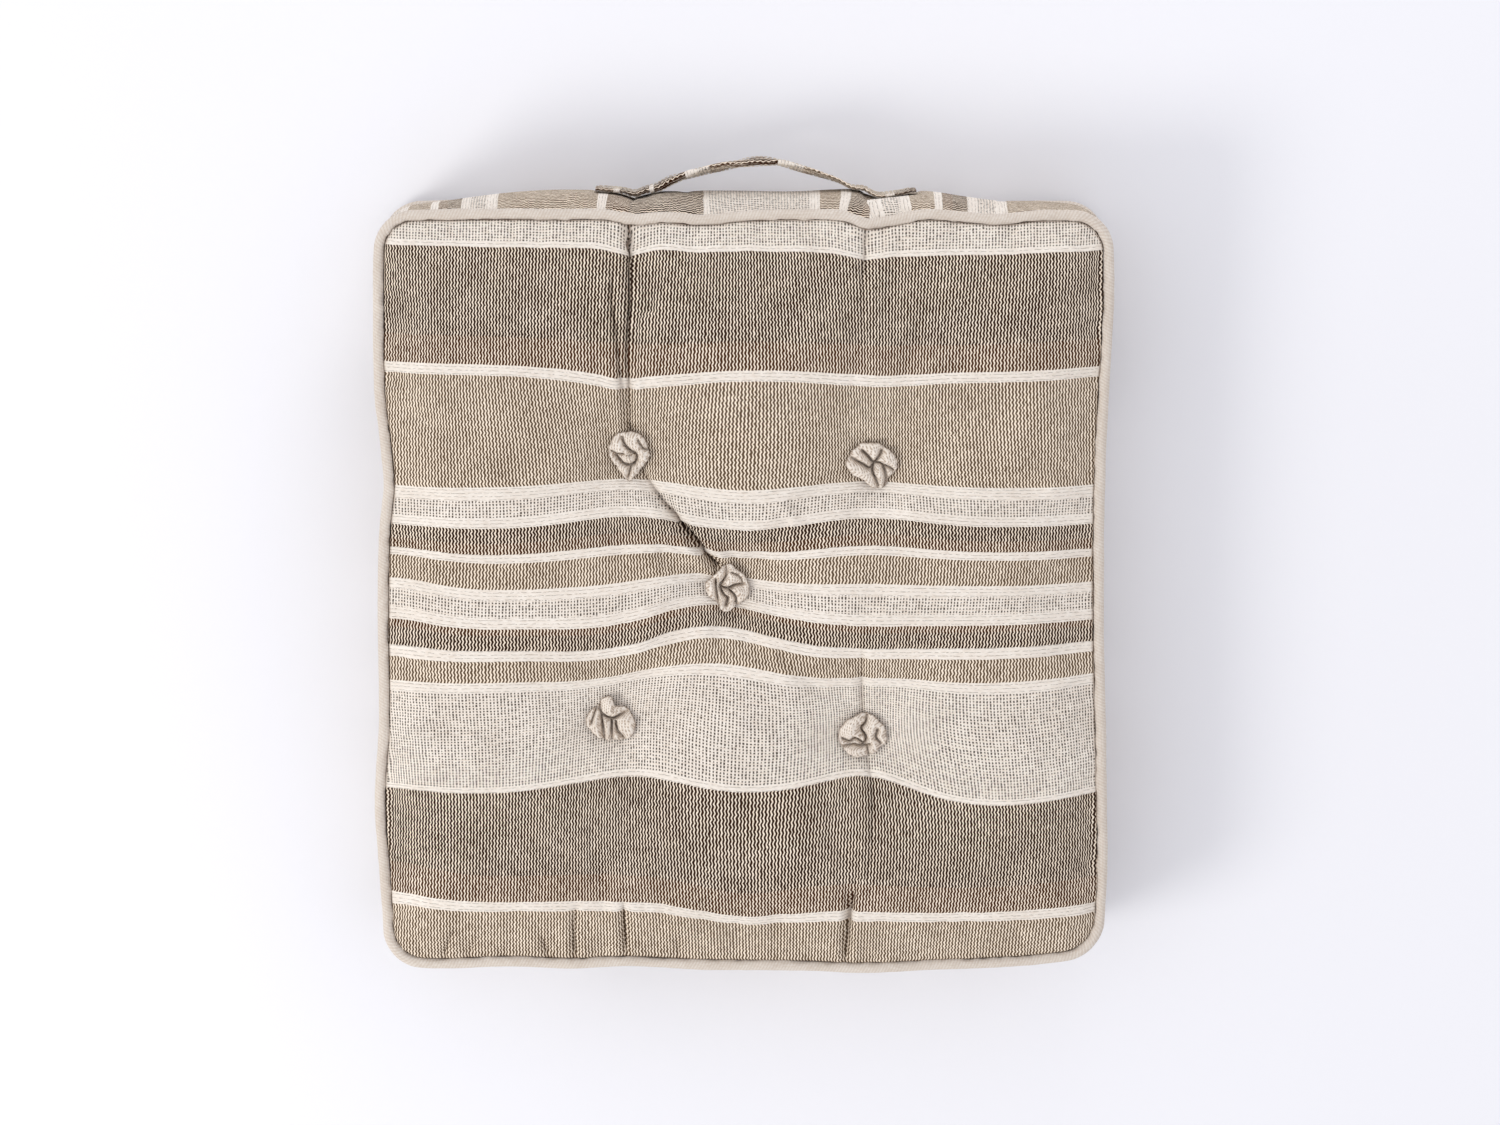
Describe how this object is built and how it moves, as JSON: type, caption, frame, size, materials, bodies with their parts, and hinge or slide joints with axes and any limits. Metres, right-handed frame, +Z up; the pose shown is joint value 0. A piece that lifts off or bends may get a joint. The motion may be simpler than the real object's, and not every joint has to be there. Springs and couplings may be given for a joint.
{
  "type": "floor cushion",
  "caption": "Square box floor cushion with a striped cloth cover, piped edges, tufts held by gathered cloth rosettes, and a cloth strap handle on one side.",
  "frame": {"origin": "bottom centre of the whole part's box, handle included, on the floor that the cushion lies on", "axes": "+Z up, +Y from the cushion towards its handle, +X to the right when seen from above with the handle at the top"},
  "size_m": [0.5162, 0.5614, 0.1],
  "materials": {
    "striped_cloth": "matte",
    "piping_cloth": "matte",
    "cotton_cord": "matte",
    "ticking": "matte",
    "cotton_filling": "matte",
    "rosette_cloth": "matte",
    "twine": "matte",
    "strap_cloth": "matte",
    "sewing_thread": "matte"
  },
  "bodies": {
    "cushion": {"top_panel": "striped_cloth", "bottom_panel": "striped_cloth", "front_band": "striped_cloth", "right_band": "striped_cloth", "back_band": "striped_cloth", "left_band": "striped_cloth", "top_piping": "piping_cloth", "bottom_piping": "piping_cloth", "top_piping_cord": "cotton_cord", "bottom_piping_cord": "cotton_cord", "ticking_top": "ticking", "ticking_bottom": "ticking", "ticking_boxing": "ticking", "upper_batt": "cotton_filling", "middle_batt": "cotton_filling", "lower_batt": "cotton_filling", "top_rosette_1": "rosette_cloth", "top_rosette_2": "rosette_cloth", "top_rosette_3": "rosette_cloth", "top_rosette_4": "rosette_cloth", "top_rosette_5": "rosette_cloth", "bottom_rosette_1": "rosette_cloth", "bottom_rosette_2": "rosette_cloth", "bottom_rosette_3": "rosette_cloth", "bottom_rosette_4": "rosette_cloth", "bottom_rosette_5": "rosette_cloth", "tuft_twine_1": "twine", "tuft_twine_2": "twine", "tuft_twine_3": "twine", "tuft_twine_4": "twine", "tuft_twine_5": "twine", "handle_tab_left": "strap_cloth", "handle_tab_right": "strap_cloth", "handle_stitches_left": "sewing_thread", "handle_stitches_right": "sewing_thread"},
    "handle": {"handle_grip": "strap_cloth", "handle_leg_left": "strap_cloth", "handle_leg_right": "strap_cloth"}
  },
  "joints": [
    {"name": "handle_swing", "type": "hinge", "parent": "cushion", "child": "handle", "pos_m": [0, 0.26077, 0.05], "axis": [1, 0, 0], "range_deg": [-55, 55], "deforming": ["handle_leg_left", "handle_leg_right"]}
  ]
}
